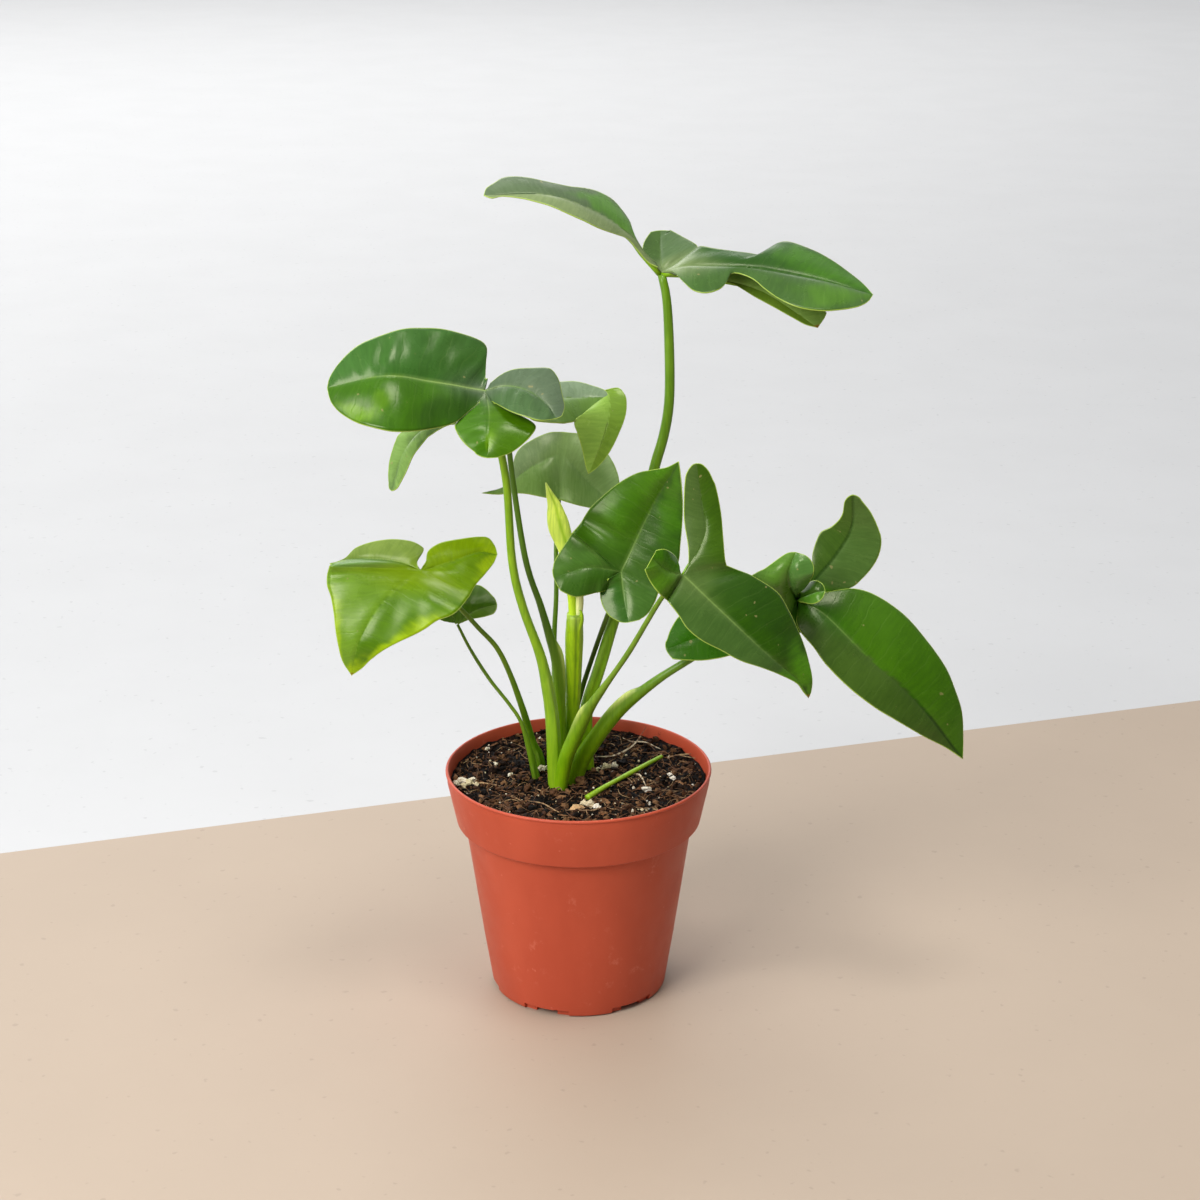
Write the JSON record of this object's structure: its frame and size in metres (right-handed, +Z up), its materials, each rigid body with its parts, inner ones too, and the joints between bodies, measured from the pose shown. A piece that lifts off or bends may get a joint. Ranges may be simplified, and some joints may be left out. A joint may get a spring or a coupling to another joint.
{
  "type": "potted philodendron",
  "caption": "Young lobed-leaf philodendron on long arching stalks, growing in soil in a round tapered terracotta-coloured nursery pot with a rolled rim and drainage notches.",
  "frame": {"origin": "on the surface the pot stands on, at the middle of the whole plant's outline seen from above; the pot's own axis is 34 mm towards -X of it", "axes": "+Z up; -Y is the plant's full side, where most of the leaves face; +X to the right when facing that side"},
  "size_m": [0.3001, 0.13, 0.3966],
  "materials": {
    "terracotta_plastic": "satin moulded polypropylene, lightly scuffed",
    "peat_soil": "crumbly moist peat with bark, fibre and perlite",
    "leaf": "semi-gloss waxy blade with pale veins",
    "bright_leaf": "semi-gloss yellow-green blade",
    "stalk": "smooth satin green stalk",
    "new_growth": "satin pale lime new growth"
  },
  "bodies": {
    "root": {"pot": "terracotta_plastic", "soil": "peat_soil", "leaf_top": "leaf", "leaf_upper_left": "leaf", "leaf_upper_back": "leaf", "leaf_back": "leaf", "leaf_centre": "leaf", "leaf_front_right": "leaf", "leaf_right": "leaf", "leaf_small": "leaf", "leaf_lower_left": "bright_leaf", "petiole_top": "stalk", "petiole_upper_left": "stalk", "petiole_upper_back": "stalk", "petiole_back": "stalk", "petiole_centre": "stalk", "petiole_front_right": "stalk", "petiole_right": "stalk", "petiole_lower_left": "stalk", "petiole_small": "stalk", "petiole_cut_off": "stalk", "sheath_new_leaf": "new_growth", "rolled_new_leaf": "new_growth"}
  },
  "joints": []
}
